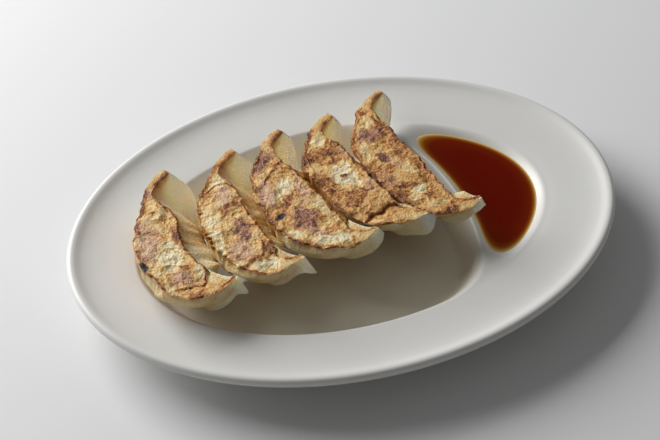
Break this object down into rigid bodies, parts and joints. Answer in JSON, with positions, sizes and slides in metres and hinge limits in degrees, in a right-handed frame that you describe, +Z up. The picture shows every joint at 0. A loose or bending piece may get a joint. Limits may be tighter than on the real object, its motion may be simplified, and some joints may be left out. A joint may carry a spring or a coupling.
{
  "type": "gyoza plate",
  "caption": "Oval divided plate with a row of pan-fried crescent dumplings in its main well and dipping sauce in its side well.",
  "frame": {"origin": "on the table under the middle of the plate", "axes": "+X along the plate's long axis towards the sauce well, +Y across the plate, +Z up"},
  "size_m": [0.24, 0.18, 0.0325],
  "materials": {
    "glaze": "white glazed porcelain, glossy",
    "dough": "pale wheat dough, browned and slightly oily where it was fried",
    "sauce": "dark red-brown soy dipping sauce, mirror smooth"
  },
  "bodies": {
    "root": {"plate": "glaze", "gyoza_1": "dough", "gyoza_2": "dough", "gyoza_3": "dough", "gyoza_4": "dough", "gyoza_5": "dough", "sauce": "sauce"}
  },
  "joints": []
}
